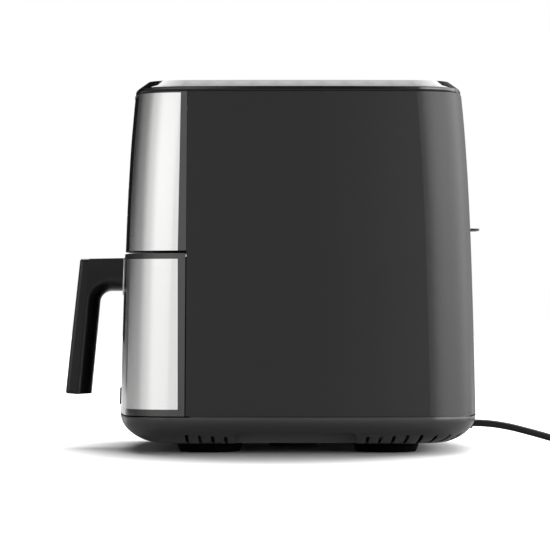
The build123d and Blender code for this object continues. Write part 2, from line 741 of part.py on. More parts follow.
# ---- Handle -------------------------------------------------------------------------------
def cover_line(z):
    """Where the handle's front cover ends at height z."""
    (y1, z1), (y0, z0) = HANDLE_FRONT
    share = (z - z0) / (z1 - z0)
    return y0 + share * (y1 - y0) + HANDLE_COVER_DEPTH


def handle_outline():
    arm = (front_y(150) + 8, HANDLE_ARM_TOP_Z)
    under = (front_y(140) + 8, HANDLE_REAR[0][1])
    points = [HANDLE_FRONT[0], HANDLE_FRONT[1], HANDLE_BOTTOM, HANDLE_REAR[1], HANDLE_REAR[0], under, arm]
    solid = prism_yz(points, HANDLE_HALF_WIDTH)
    across = solid.edges().filter_by(Axis.X)
    inner = across.sort_by_distance((0, *HANDLE_REAR[0]))[0]
    solid = fillet(inner, HANDLE_INNER_FILLET)
    for corner in (HANDLE_FRONT[0], HANDLE_FRONT[1], HANDLE_REAR[1]):
        edge = solid.edges().filter_by(Axis.X).sort_by_distance((0, *corner))[0]
        solid = fillet(edge, 2.0)
    return solid


def soften_sides(solid, radius):
    """Rounds the long outer edges of the handle where they can be rounded."""
    long_edges = [e for e in solid.edges() if abs(e.center().X) > HANDLE_HALF_WIDTH - 0.01]
    try:
        return fillet(long_edges, radius)
    except Exception as problem:
        print("handle edges stay sharp:", problem)
        return solid


def make_handle():
    """The grip's hollow body and its front cover."""
    whole = soften_sides(handle_outline(), 3.0)
    z0, z1 = 40, 180
    ahead = prism_yz([(-FAR, z0), (cover_line(z0), z0), (cover_line(z1), z1), (-FAR, z1)], FAR)
    cover = whole & ahead
    body = (whole - ahead) - SKIN_PROUD
    room = [
        (cover_line(56) - 1, 56),
        (-161.5, 56),
        (-154.0, 128),
        (-150.0, 141),
        (HANDLE_ROOM_END_Y, 141),
        (HANDLE_ROOM_END_Y, 161),
        (cover_line(161) - 1, 161),
    ]
    body = body - prism_yz(room, HANDLE_HALF_WIDTH - 3.5)
    for screw in handle_screws():
        body = body - screw
    return body, cover


def handle_screws():
    """Two screws through the arm of the handle."""
    y = HANDLE_ROOM_END_Y
    return [rod_y(x, y, y + 2.8, 151, SCREW_HEAD_RADIUS) for x in (-8, 8)]


# ---- Pan and crisper plate ----------------------------------------------------------------
def make_drawer_pan():
    outer = rounded_block((-PAN_X, PAN_X), PAN_Y, *PAN_Z, PAN_CORNER)
    outer = fillet(outer.edges().group_by(Axis.Z)[0], 9)
    rim_x = PAN_X + PAN_RIM
    rim_y = (PAN_Y[0] - PAN_RIM, PAN_Y[1] + PAN_RIM)
    rim = rounded_block((-rim_x, rim_x), rim_y, PAN_Z[1] - PAN_WALL, PAN_Z[1], PAN_CORNER + PAN_RIM)
    inner_x = PAN_X - PAN_WALL
    inner_y = (PAN_Y[0] + PAN_WALL, PAN_Y[1] - PAN_WALL)
    inner = rounded_block((-inner_x, inner_x), inner_y, PAN_Z[0] + PAN_WALL, PAN_Z[1] + 5, PAN_CORNER - PAN_WALL)
    inner = fillet(inner.edges().group_by(Axis.Z)[0], 8)
    return (outer + rim) - inner


def make_pan_bracket():
    """Joins the pan's front wall to the drawer front."""
    plate = block(-45, 45, POCKET_Y, PAN_Y[0], 70, 145)
    return plate - block(-36, 36, POCKET_Y + 2, PAN_Y[0] + 1, 78, 137)


def make_drawer_screws():
    """The handle's two screws and the four that hold the pan's bracket to the drawer front."""
    screws = handle_screws()
    for x in (-40.5, 40.5):
        for z in (74, 141):
            screws.append(rod_y(x, POCKET_Y - 4.8, POCKET_Y - 2, z, SCREW_HEAD_RADIUS))
    return screws


BUMPERS = ((-1, -50.0), (-1, 70.0), (1, -50.0), (1, 70.0))


def make_crisper_plate():
    margin = 3.5
    x = PAN_X - PAN_WALL - margin
    y = (PAN_Y[0] + PAN_WALL + margin, PAN_Y[1] - PAN_WALL - margin)
    corner = PAN_CORNER - PAN_WALL - margin
    middle_y = (y[0] + y[1]) / 2
    flat = RectangleRounded(2 * x, y[1] - y[0], corner)
    flat = flat - [place * Circle(4) for place in GridLocations(20, 20, 9, 9)]
    lift_hole = SlotOverall(34, 16)
    flat = flat - lift_hole
    plate = extrude(Pos(0, middle_y, PLATE_Z) * flat, PLATE_THICK)
    for side, along in BUMPERS:
        edge = side * (x - 2)
        notch = block(edge - 3.5, edge + 3.5, along - 6, along + 6, PLATE_Z - 1, PLATE_Z + 3)
        plate = plate - notch
    return plate


def make_bumpers():
    """Silicone feet that hold the plate off the pan's floor and walls."""
    inner = PAN_X - PAN_WALL
    feet = []
    for side, along in BUMPERS:
        x0 = inner - 0.4 - 9.6
        x1 = inner - 0.4
        y0 = along - 8
        y1 = along + 8
        foot = block(x0, x1, y0, y1, PAN_Z[0] + PAN_WALL + 0.4, PLATE_Z + 5)
        foot = fillet(foot.edges().filter_by(Axis.Y), 1.5)
        x = PAN_X - PAN_WALL - 3.5
        groove = block(0, x, along - 20, along + 20, PLATE_Z, PLATE_Z + PLATE_THICK)
        core = block(x - 5.5, FAR, along - 6, along + 6, PLATE_Z - 1, PLATE_Z + 3)
        foot = foot - (groove - core)
        foot = foot - block(0, FAR, -FAR, FAR, 0, PAN_Z[0] + PAN_WALL + 0.4)
        low_back = block(inner - 6.5, FAR, y0 - 1, y1 + 1, 0, PAN_Z[0] + PAN_WALL + 7)
        foot = foot - low_back
        feet.append(foot if side > 0 else mirror(foot, about=Plane.YZ))
    return feet


# ---- Cord ---------------------------------------------------------------------------------
def make_cord_gland():
    """Strain relief: a tapered sleeve in the round hole of the base, with a collar behind the wall."""
    x, y, z = CORD_EXIT
    sleeve = Pos(x, y - GLAND_LENGTH / 2, z) * Rot(-90, 0, 0) * Cone(*GLAND_RADII, GLAND_LENGTH)
    collar = rod_y(x, y - 22, y - 18, z, GLAND_RADII[0] + 2.5)
    return sleeve + collar


def make_cord_clamp():
    """A saddle on the floor of the base and a bar over it, with room for the cord between."""
    base_z = FOOT_HEIGHT + SKIN_WALL
    cord_z = CORD_EXIT[2]
    y0, y1 = 132, 142
    stand = block(-16, 16, y0, y1, base_z, cord_z - 3.3)
    bar = block(-16, 16, y0, y1, cord_z + 3.3, cord_z + 6.3)
    clamp = stand + bar
    for x in (-16, 9):
        clamp = clamp + block(x, x + 7, y0, y1, base_z, cord_z + 6)
    return clamp


def lead_route():
    """Points of the free run, from the gland down to the table and on to the coil."""
    x, y, z = CORD_EXIT
    table = CORD_DIAMETER / 2 + CORD_FLOOR_GAP
    coil_y = COIL_CENTRE[1] - COIL_STUB
    return [
        (x, y, z),
        (x, y + 11, z),
        (x + 0.5, y + 31, z - 2.8),
        (x + 1.3, y + 54, z - 8.8),
        (x + 0.9, y + 76, table + 3.0),
        (x, coil_y - 12.2, table),
        (x, coil_y, table),
    ]


def tube_along(points, name):
    """A round tube along straight runs joined by the largest arcs they allow."""
    radii = []
    for before, here, after in zip(points, points[1:], points[2:]):
        run_in = Vector(*here) - Vector(*before)
        run_out = Vector(*after) - Vector(*here)
        half_turn = math.radians(run_in.get_angle(run_out)) / 2
        radii.append(0.45 * min(run_in.length, run_out.length) / math.tan(half_turn))
    path = FilletPolyline(*points, radius=radii)
    start = Plane(origin=path @ 0, z_dir=path % 0)
    tube = sweep(start * Circle(CORD_DIAMETER / 2), path=path)
    section = math.pi * (CORD_DIAMETER / 2) ** 2
    print(name, "radii", [round(r) for r in radii], "length", round(path.length, 1),
          "volume share", round(tube.volume / (section * path.length), 4))
    return tube


def make_cord_lead():
    return tube_along(lead_route(), "cord_lead")


def make_cord_coil():
    """Outer shape of the put-away coil: two turns wide, two turns high, with its two ends."""
    x, y = COIL_CENTRE
    half = CORD_DIAMETER / 2
    outer = COIL_RADII[1] + half + 0.3
    inner = COIL_RADII[0] - half
    height = 2 * CORD_DIAMETER + CORD_FLOOR_GAP
    ring = post(x, y, 0, height + 0.2, outer) - post(x, y, -1, height + 1, inner)
    lead_in = rod_y(0, y - COIL_STUB, y, half + CORD_FLOOR_GAP, half)
    tail_x = tail_end()[0]
    tail_out = Pos((x + tail_x) / 2, y + COIL_RADII[1], tail_end()[2]) * Rot(0, 90, 0) * Cylinder(half, x - tail_x)
    return ring + lead_in + tail_out


def tail_end():
    """Where the cord runs into the plug's neck, on the level of the upper turns."""
    x, y = COIL_CENTRE
    return x - COIL_TAIL, y + COIL_RADII[1], 1.5 * CORD_DIAMETER + CORD_FLOOR_GAP


PLUG_LENGTH = 36.0
PLUG_RELIEF = 14.0


def make_plug_body():
    """Moulded plug lying on the table, with its tapered neck on the cord."""
    x, y, z = tail_end()
    neck = Pos(x - PLUG_RELIEF / 2, y, z) * Rot(0, -90, 0) * Cone(4.6, 7.0, PLUG_RELIEF)
    body = block(x - PLUG_RELIEF - PLUG_LENGTH, x - PLUG_RELIEF, y - 13, y + 13, CORD_FLOOR_GAP, 2 * z)
    body = fillet(body.edges().filter_by(Axis.X), 5)
    return neck + body


def make_plug_pins():
    x, y, z = tail_end()
    face = x - PLUG_RELIEF - PLUG_LENGTH
    blades = [block(face - 16, face, y + side * 6.3 - 0.75, y + side * 6.3 + 0.75, z - 3.2 + 3, z + 3.2 + 3)
              for side in (-1, 1)]
    ground = Pos(face - 9, y, z - 5) * Rot(0, 90, 0) * Cylinder(2.4, 18)
    return blades + [ground]


# ---- Write the pieces ---------------------------------------------------------------------
def write(name, shape):
    """One STEP file for one piece, or for a group of equal pieces."""
    if isinstance(shape, (list, tuple)):
        shape = Compound(children=[s for s in shape])
    export_step(shape, f"parts/{name}.step")


def main():
    os.makedirs("parts", exist_ok=True)
    upper_steel = make_upper_steel()
    drawer_steel = make_drawer_steel()
    control_panel = make_control_panel()
    handle_body, handle_cover = make_handle()

    write("body_shell", make_body_shell())
    write("top_cover_rim", make_top_cover())
    write("top_panel", make_top_panel())
    write("base_pan", make_base_pan())
    write("rubber_feet", make_rubber_feet())
    write("foot_screws", make_foot_screws())
    write("underside_hub_cover", make_hub_cover())
    write("front_bezel", make_front_bezel(upper_steel, control_panel))
    write("upper_steel_right", upper_steel)
    write("upper_steel_left", mirror(upper_steel, about=Plane.YZ))
    write("control_panel", control_panel)
    write("control_board", make_control_board())
    write("display_module", make_display_module())
    write("front_bulkhead", make_bulkhead())
    write("cavity_liner", make_cavity_liner())
    write("drawer_runners", make_runners())
    write("exhaust_duct", make_exhaust_duct())
    write("rear_vent_grille", make_rear_grille())
    write("heater_dome", make_heater_dome())
    write("heating_element", make_heating_element())
    write("terminal_insulators", make_terminal_insulators())
    write("element_clips", make_element_clips())
    write("element_guard", make_element_guard())
    write("temperature_sensor", make_temperature_sensor())
    write("thermal_cutout", make_thermal_cutout())
    write("heat_shield", make_heat_shield())
    write("motor_brackets", make_motor_brackets())
    write("motor_bushings", make_bushings())
    write("motor_stator_core", make_stator_core())
    write("motor_coil", make_stator_coil())
    write("shield_standoffs", make_shield_standoffs())
    write("power_board", make_power_board())
    write("power_components", make_power_components())
    write("door_switch", make_door_switch())
    write("cord_gland", make_cord_gland())
    write("cord_clamp", make_cord_clamp())

    write("motor_shaft", make_motor_shaft())
    write("motor_rotor", make_rotor_core())
    write("convection_fan", make_convection_fan())
    write("fan_nut", make_fan_nut())
    write("cooling_fan", make_cooling_fan())

    write("switch_plunger", make_switch_plunger())

    write("drawer_frame", make_drawer_frame(drawer_steel))
    write("drawer_steel_right", drawer_steel)
    write("drawer_steel_left", mirror(drawer_steel, about=Plane.YZ))
    write("drawer_centre_panel", make_drawer_centre())
    write("drawer_inner_cover", make_drawer_inner_cover())
    write("trim_plate", make_trim_plate())
    write("handle_plate", make_handle_plate())
    write("handle_body", handle_body)
    write("handle_cover", handle_cover)
    write("drawer_screws", make_drawer_screws())
    write("drawer_pan", make_drawer_pan())
    write("pan_bracket", make_pan_bracket())

    write("crisper_plate", make_crisper_plate())
    write("crisper_bumpers", make_bumpers())

    write("cord_lead", make_cord_lead())
    write("cord_coil", make_cord_coil())
    write("cord_plug", make_plug_body())
    write("plug_pins", make_plug_pins())


main()
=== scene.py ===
# %% [markdown]
# A basket air fryer on a white table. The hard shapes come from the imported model, which this
# script loads as a fixed frame: every piece is in metres, the handle points to -Y, the table is
# z = 0. What is added here is what the eye reads as real: finishes, softened edges, light.

# %% Load the frame
import bmesh
import bpy
import json
import math
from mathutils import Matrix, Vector


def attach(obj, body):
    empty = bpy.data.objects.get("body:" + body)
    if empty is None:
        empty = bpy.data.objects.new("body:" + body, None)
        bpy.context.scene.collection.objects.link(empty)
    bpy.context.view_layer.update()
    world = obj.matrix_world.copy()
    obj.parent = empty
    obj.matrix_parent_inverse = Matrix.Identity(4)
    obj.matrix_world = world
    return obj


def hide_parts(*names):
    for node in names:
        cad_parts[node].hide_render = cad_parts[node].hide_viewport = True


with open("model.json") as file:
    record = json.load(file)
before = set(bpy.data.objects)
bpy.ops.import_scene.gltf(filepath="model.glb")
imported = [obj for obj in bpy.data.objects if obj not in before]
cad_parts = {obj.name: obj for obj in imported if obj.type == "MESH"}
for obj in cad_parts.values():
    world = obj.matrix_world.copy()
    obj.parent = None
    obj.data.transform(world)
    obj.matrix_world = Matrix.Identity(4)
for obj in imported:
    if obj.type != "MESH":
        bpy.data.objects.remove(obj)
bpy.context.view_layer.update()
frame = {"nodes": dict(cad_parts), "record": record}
nodes = frame["nodes"]

# %% [markdown]
# The appliance is looked at straight from its side, from three metres away and from a little
# under half its height, so the picture is nearly flat and the top isn't seen. A long lens does
# that: the further away the eye stands, the longer the lens that fills the frame.

# %% The camera
EYE = Vector((3.0, 0.0023, 0.1348))
SENSOR_MM = 36.0
LENS_MM = 223.1345
PITCH_DEGREES = 0.31933

camera_data = bpy.data.cameras.new("camera")
camera_data.lens = LENS_MM
camera_data.sensor_width = SENSOR_MM
camera_data.clip_start = 0.1
camera_data.clip_end = 60.0
camera = bpy.data.objects.new("camera", camera_data)
bpy.context.scene.collection.objects.link(camera)
camera.location = EYE
camera.rotation_euler = (math.radians(90 + PITCH_DEGREES), 0, math.radians(90))
bpy.context.scene.camera = camera
print("lens", round(camera_data.lens, 1), "mm, pitched up", PITCH_DEGREES, "degrees")

# %% [markdown]
# The mains lead is round, 6.4 mm thick, and about 0.9 m long on such an appliance. It comes
# straight out of the back of the base, sinks to the table and is put away in a small neat coil
# with the plug beside it. One open spline is the whole lead, so its thickness never changes.
# The spline has order 3: a point pulls the line towards it, and the line stays smooth.

# %% The route of the lead
CORD = 0.0064
EXIT = (0.0, 0.1760, 0.0215)
FLOOR_LINE = 0.0034
COIL_MIDDLE = (-0.0396, 0.302)
OUTER_TURN = 0.0396
INNER_TURN = 0.0330
POINTS_PER_TURN = 13
COIL_END_TURN = 1170.0


def between(angle, start, end, low, high):
    """Goes evenly from low to high while the angle goes from start to end."""
    share = min(max((angle - start) / (end - start), 0.0), 1.0)
    return low + share * (high - low)


def coil_point(angle):
    """A point of the coil: two turns on the table, then one and a quarter on top of them."""
    if angle < 700:
        radius = between(angle, 295, 355, OUTER_TURN, INNER_TURN)
    else:
        radius = between(angle, 960, 1035, INNER_TURN, OUTER_TURN)
    height = between(angle, 600, 690, FLOOR_LINE, FLOOR_LINE + CORD)
    reach = radius / math.cos(math.pi / POINTS_PER_TURN)
    turn = math.radians(angle)
    x = COIL_MIDDLE[0] + reach * math.cos(turn)
    return (x, COIL_MIDDLE[1] + reach * math.sin(turn), height)


lead_points = [
    EXIT,
    (0.0000, 0.1870, 0.0215),
    (0.0005, 0.2070, 0.0187),
    (0.0013, 0.2300, 0.0127),
    (0.0009, 0.2520, 0.0064),
    (0.0000, 0.2658, 0.0034),
    (0.0000, 0.2780, 0.0034),
]
step = 360 / POINTS_PER_TURN
coil_points = [coil_point(step * (i + 0.5)) for i in range(int(COIL_END_TURN / step))]
tail_height = FLOOR_LINE + CORD
tail_line = COIL_MIDDLE[1] + OUTER_TURN
tail_points = [(x, tail_line, tail_height) for x in (-0.0480, -0.0640, -0.0796)]
route = lead_points + coil_points + tail_points
print("route points", len(route))

# %% [markdown]
# A mains lead is a round rubber sheath of one thickness, so one swept curve makes it. The listed
# points lead a smooth spline. Blender pads a curve's box by the radius of its points, so
# the radius holds half the sheath's thickness and the bevel depth is 1. The curve stands for the
# plain tubes of the imported model, while the plug stays as packed.

# %% The lead itself
cord_curve = bpy.data.curves.new("power_cord", "CURVE")
cord_curve.dimensions = "3D"
cord_curve.resolution_u = 8
cord_curve.bevel_depth = 1.0
cord_curve.bevel_resolution = 5
cord_curve.use_fill_caps = True
spline = cord_curve.splines.new("NURBS")
spline.points.add(len(route) - 1)
for point, place in zip(spline.points, route):
    point.co = (*place, 1)
    point.radius = CORD / 2
spline.order_u = 3
spline.use_endpoint_u = True
cord_piece = bpy.data.objects.new("power_cord", cord_curve)
bpy.context.scene.collection.objects.link(cord_piece)
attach(cord_piece, "housing")
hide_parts("cord_lead", "cord_coil")
print("lead made")

# %% [markdown]
# Finishes share a few effects. A node group is the shader's version of a helper: it is built
# once, with named sockets, and every material that needs fine grain or brushing places it with
# its own values. Patterns read Object coordinates, in metres, so they have a real size.

# %% Helpers for node groups and materials
def new_group(name, inputs, outputs):
    """An empty shader group with the given sockets, and its two end nodes."""
    group = bpy.data.node_groups.new(name, "ShaderNodeTree")
    for label, kind, default in inputs:
        socket = group.interface.new_socket(name=label, in_out="INPUT", socket_type=kind)
        socket.default_value = default
    for label, kind in outputs:
        group.interface.new_socket(name=label, in_out="OUTPUT", socket_type=kind)
    entry = group.nodes.new("NodeGroupInput")
    leave = group.nodes.new("NodeGroupOutput")
    return group, entry, leave


def add(tree, kind, **settings):
    """A new node with its properties set."""
    node = tree.nodes.new(kind)
    for key, value in settings.items():
        setattr(node, key, value)
    return node


def math_node(tree, operation, first, second=None):
    """A Math node; each operand is a number or a socket."""
    node = add(tree, "ShaderNodeMath", operation=operation)
    for index, value in enumerate((first, second)):
        if value is None:
            continue
        if isinstance(value, (int, float)):
            node.inputs[index].default_value = value
        else:
            tree.links.new(value, node.inputs[index])
    return node.outputs[0]


FLOAT = "NodeSocketFloat"
print("helpers ready")

# %% [markdown]
# Moulded plastic isn't smooth: the mould is etched, which leaves grains a few tenths of a
# millimetre wide. Two noises, one fine and one broad, give the grain and a slow unevenness that
# keeps large faces from looking computed.

# %% The etched grain group
grain, grain_in, grain_out = new_group(
    "etched_grain",
    [("Grain size", FLOAT, 2500.0), ("Unevenness", FLOAT, 0.1)],
    [("Height", FLOAT), ("Roughness shift", FLOAT)],
)
grain_place = add(grain, "ShaderNodeTexCoord")
fine = add(grain, "ShaderNodeTexNoise")
fine.inputs["Detail"].default_value = 2.0
grain.links.new(grain_place.outputs["Object"], fine.inputs["Vector"])
grain.links.new(grain_in.outputs["Grain size"], fine.inputs["Scale"])
broad = add(grain, "ShaderNodeTexNoise")
broad.inputs["Scale"].default_value = 9.0
broad.inputs["Detail"].default_value = 3.0
grain.links.new(grain_place.outputs["Object"], broad.inputs["Vector"])
centred = math_node(grain, "SUBTRACT", broad.outputs[0], 0.5)
shift = math_node(grain, "MULTIPLY", centred, grain_in.outputs["Unevenness"])
grain.links.new(fine.outputs[0], grain_out.inputs["Height"])
grain.links.new(shift, grain_out.inputs["Roughness shift"])
print("group", grain.name)

# %% [markdown]
# Brushed steel is scratched in one direction by a belt. Here the belt ran level, round the
# corner, so the scratches are very thin in z and long in x and y. Stretching a noise the other
# way round gives that: small steps along z, large ones along the sheet.

# %% The brushing group
brushing, brushing_in, brushing_out = new_group(
    "level_brushing",
    [("Lines per metre", FLOAT, 2600.0), ("Contrast", FLOAT, 0.2)],
    [("Height", FLOAT), ("Tone", FLOAT)],
)
brush_place = add(brushing, "ShaderNodeTexCoord")
split = add(brushing, "ShaderNodeSeparateXYZ")
join = add(brushing, "ShaderNodeCombineXYZ")
brushing.links.new(brush_place.outputs["Object"], split.inputs[0])
for axis in ("X", "Y"):
    brushing.links.new(math_node(brushing, "MULTIPLY", split.outputs[axis], 14.0), join.inputs[axis])
lines_z = math_node(brushing, "MULTIPLY", split.outputs["Z"], brushing_in.outputs["Lines per metre"])
brushing.links.new(lines_z, join.inputs["Z"])
lines = add(brushing, "ShaderNodeTexNoise")
lines.inputs["Scale"].default_value = 1.0
lines.inputs["Detail"].default_value = 4.0
brushing.links.new(join.outputs[0], lines.inputs["Vector"])
spread = math_node(brushing, "SUBTRACT", lines.outputs[0], 0.5)
tone = math_node(brushing, "MULTIPLY", spread, brushing_in.outputs["Contrast"])
brushing.links.new(lines.outputs[0], brushing_out.inputs["Height"])
brushing.links.new(tone, brushing_out.inputs["Tone"])
print("group", brushing.name)

# %% [markdown]
# A material is then short: one Principled shader, its constant values on its own sockets, and
# only what changes over the surface linked in from the groups.

# %% Material makers
PLASTIC_BUMP = 0.6
BRUSH_BUMP = 0.35
BRUSH_RELIEF = 0.000003
METAL_BUMP = 0.3
METAL_RELIEF = 0.00002
METAL_GRAIN = 400.0
finishes = {}


def shader_material(name, color, roughness, metallic=0.0, specular=0.5):
    """A material with its Principled shader and constant values, kept under its own name."""
    material = bpy.data.materials.new(name)
    finishes[name] = material
    material.use_nodes = True
    shader = material.node_tree.nodes["Principled BSDF"]
    shader.inputs["Base Color"].default_value = (*color, 1)
    shader.inputs["Roughness"].default_value = roughness
    shader.inputs["Metallic"].default_value = metallic
    shader.inputs["Specular IOR Level"].default_value = specular
    return material, material.node_tree, shader


def place_group(tree, group, **values):
    """Places a shader group with values for its inputs; an underscore stands for a space."""
    node = tree.nodes.new("ShaderNodeGroup")
    node.node_tree = group
    for label, value in values.items():
        node.inputs[label.replace("_", " ")].default_value = value
    return node


def add_bump(tree, shader, height, distance, strength):
    """Turns a height into the shader's normal, with the relief's depth in metres."""
    bump = add(tree, "ShaderNodeBump")
    bump.inputs["Distance"].default_value = distance
    bump.inputs["Strength"].default_value = strength
    tree.links.new(height, bump.inputs["Height"])
    tree.links.new(bump.outputs["Normal"], shader.inputs["Normal"])


def plastic(name, color, roughness, grain_size, relief, specular=0.5, unevenness=0.12):
    """Moulded plastic or rubber with an etched grain."""
    _, tree, shader = shader_material(name, color, roughness, 0.0, specular)
    etched = place_group(tree, grain, Grain_size=grain_size, Unevenness=unevenness)
    add_bump(tree, shader, etched.outputs["Height"], relief, PLASTIC_BUMP)
    rough = math_node(tree, "ADD", etched.outputs["Roughness shift"], roughness)
    tree.links.new(rough, shader.inputs["Roughness"])


def brushed(name, color, roughness, contrast, lines_per_metre=2600.0, stretch=0.0, turn=0.0):
    """Steel with level brushing in its tone, roughness and relief, and a stretched highlight."""
    _, tree, shader = shader_material(name, color, roughness, 1.0)
    shader.inputs["Anisotropic"].default_value = stretch
    shader.inputs["Anisotropic Rotation"].default_value = turn
    marks = place_group(tree, brushing, Lines_per_metre=lines_per_metre, Contrast=contrast)
    add_bump(tree, shader, marks.outputs["Height"], BRUSH_RELIEF, BRUSH_BUMP)
    rough = math_node(tree, "ADD", marks.outputs["Tone"], roughness)
    tree.links.new(rough, shader.inputs["Roughness"])
    value = math_node(tree, "ADD", marks.outputs["Tone"], 1.0)
    mix = add(tree, "ShaderNodeMix", data_type="RGBA", blend_type="MULTIPLY")
    mix.inputs["Factor"].default_value = 1.0
    mix.inputs["A"].default_value = (*color, 1)
    tone_color = add(tree, "ShaderNodeCombineColor")
    for channel in ("Red", "Green", "Blue"):
        tree.links.new(value, tone_color.inputs[channel])
    tree.links.new(tone_color.outputs[0], mix.inputs["B"])
    tree.links.new(mix.outputs["Result"], shader.inputs["Base Color"])


def metal(name, color, roughness, unevenness=0.2):
    """Plain sheet, cast or turned metal."""
    _, tree, shader = shader_material(name, color, roughness, 1.0)
    etched = place_group(tree, grain, Grain_size=METAL_GRAIN, Unevenness=unevenness)
    add_bump(tree, shader, etched.outputs["Height"], METAL_RELIEF, METAL_BUMP)
    rough = math_node(tree, "ADD", etched.outputs["Roughness shift"], roughness)
    tree.links.new(rough, shader.inputs["Roughness"])


print("material makers ready")

# %% [markdown]
# The shell and base are moulded plastic with a fine etched grain, the bands and panel are glossy
# plastic, and the corner wraps are brushed steel. Inside there are plain sheet, cast and turned
# metals, ceramic, copper, rubber and silicone. Each finish has a colour, a roughness, the size of
# its grain and the depth of its relief, and dark plastic stays a little above full black.

# %% The finishes of the appliance
plastic("shell_grey", (0.0042, 0.0042, 0.0045), 0.41, 2600.0, 0.000010, 0.37, 0.05)
plastic("base_grey", (0.015, 0.0151, 0.0154), 0.36, 2400.0, 0.000010, 0.62, 0.05)
plastic("gloss_black", (0.0045, 0.0045, 0.005), 0.08, 300.0, 0.000001, 0.5, 0.03)
plastic("gloss_dark", (0.026, 0.026, 0.027), 0.14, 300.0, 0.000001, 0.5, 0.04)
plastic("panel_marks", (0.35, 0.35, 0.36), 0.35, 300.0, 0.000001, 0.5, 0.04)
plastic("panel_black", (0.004, 0.004, 0.0045), 0.06, 200.0, 0.000002, 0.5, 0.02)
brushed("steel_brushed", (0.74, 0.74, 0.735), 0.28, 0.025, stretch=0.75, turn=0.25)
plastic("handle_black", (0.0033, 0.0033, 0.0035), 0.26, 2400.0, 0.000008, 0.40, 0.05)
plastic("rubber_black", (0.0015, 0.0015, 0.0015), 0.60, 1800.0, 0.00002, 0.03)
plastic("top_black", (0.010, 0.010, 0.0105), 0.45, 2200.0, 0.00008, 0.4)
plastic("plastic_black", (0.010, 0.010, 0.010), 0.50, 2000.0, 0.00008, 0.4)
plastic("component_grey", (0.060, 0.060, 0.065), 0.45, 1500.0, 0.00008)
plastic("board_green", (0.015, 0.110, 0.055), 0.35, 700.0, 0.00005)
plastic("ceramic_white", (0.75, 0.73, 0.68), 0.30, 900.0, 0.00003)
plastic("silicone_black", (0.015, 0.015, 0.015), 0.55, 1500.0, 0.00006)
plastic("cord_rubber", (0.006, 0.006, 0.0062), 0.42, 1600.0, 0.00001, 0.20)
plastic("pan_coat", (0.022, 0.022, 0.023), 0.34, 1500.0, 0.00010, 0.5, 0.15)
metal("galvanised", (0.55, 0.56, 0.57), 0.38)
brushed("liner_steel", (0.60, 0.60, 0.585), 0.34, 0.10, 900.0)
metal("element_steel", (0.20, 0.18, 0.165), 0.45)
metal("aluminium_fan", (0.70, 0.70, 0.71), 0.32)
metal("shaft_steel", (0.60, 0.60, 0.60), 0.22)
metal("bush_bronze", (0.50, 0.34, 0.16), 0.40)
metal("core_steel", (0.20, 0.20, 0.215), 0.45)
metal("copper", (0.62, 0.26, 0.12), 0.35)
metal("pin_brass", (0.72, 0.66, 0.50), 0.25)
metal("screw_steel", (0.50, 0.50, 0.51), 0.30)
print("finishes", len(finishes))

# %% [markdown]
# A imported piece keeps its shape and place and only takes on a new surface. The record names the
# slot of each piece, so one loop swaps every flat colour for the finish of the same name.

# %% Give each node the finish of its slot
slot_of = {part["node"]: part["material_slot"] for part in frame["record"]["subparts"]}
for name, node in nodes.items():
    node.data.materials.clear()
    node.data.materials.append(finishes[slot_of[name]])
cord_curve.materials.append(finishes["cord_rubber"])
print("dressed", len(slot_of), "nodes")

# %% [markdown]
# A real grip is round where the fingers go and flat in front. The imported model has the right
# outline with small roundings, so the grip is made again here as a stack of side outlines. Each
# outline further from the middle has its finger side drawn in along an ellipse, and the round
# inner corner keeps its centre while its radius grows. The other half is the mirror image.

# %% The grip behind its front cover
MM = 0.001
GRIP_HALF = 17.5
ROUND_DEPTH = 12.3
ROUND_WIDTH = 16.0
ROUND_STEPS = 14
INNER_RADIUS = 10.5
CORNER_STEPS = 12
GRIP_FRONT = [(-130.8, 166.2), (-160.2, 165.7), (-173.1, 47.2), (-170.0, 47.0)]
FINGER_LOW = Vector((-158.9, 47.4))
FINGER_HIGH = Vector((-150.5, 137.4))
ARM_END_Y = -130.8
TOP_EDGE_Z = 0.160
FOOT_EDGE_Y = -0.1715
FOOT_EDGE_Z = 0.0475
END_ROUND = 0.0012


def new_piece(name, mesh, body, finish, sharp_degrees=35):
    """Turns a bmesh into a smooth-shaded object that rides on a body, in one of the finishes."""
    bmesh.ops.remove_doubles(mesh, verts=mesh.verts, dist=0.000002)
    bmesh.ops.recalc_face_normals(mesh, faces=mesh.faces)
    for face in mesh.faces:
        face.smooth = True
    data = bpy.data.meshes.new(name)
    mesh.to_mesh(data)
    mesh.free()
    data.set_sharp_from_angle(angle=math.radians(sharp_degrees))
    data.materials.append(finishes[finish])
    piece = bpy.data.objects.new(name, data)
    bpy.context.scene.collection.objects.link(piece)
    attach(piece, body)
    print(name, "faces", len(data.polygons))
    return piece


def grip_outline(inset):
    """The grip's side outline in millimetres of Y and Z, with its finger side drawn in."""
    along = (FINGER_HIGH - FINGER_LOW).normalized()
    to_fingers = Vector((along.y, -along.x))
    corner_z = FINGER_HIGH.y - INNER_RADIUS
    rise = (corner_z - FINGER_LOW.y - INNER_RADIUS * to_fingers.y) / along.y
    corner = FINGER_LOW + along * rise + to_fingers * INNER_RADIUS
    points = list(GRIP_FRONT)
    low = FINGER_LOW - to_fingers * inset
    points.append((low.x - along.x * (low.y - FINGER_LOW.y) / along.y, FINGER_LOW.y))
    start = math.atan2(-to_fingers.y, -to_fingers.x)
    sweep = start - math.pi / 2
    for step in range(CORNER_STEPS + 1):
        turn = start - sweep * step / CORNER_STEPS
        reach = INNER_RADIUS + inset
        points.append((corner.x + reach * math.cos(turn), corner.y + reach * math.sin(turn)))
    points.append((ARM_END_Y, FINGER_HIGH.y + inset))
    return points


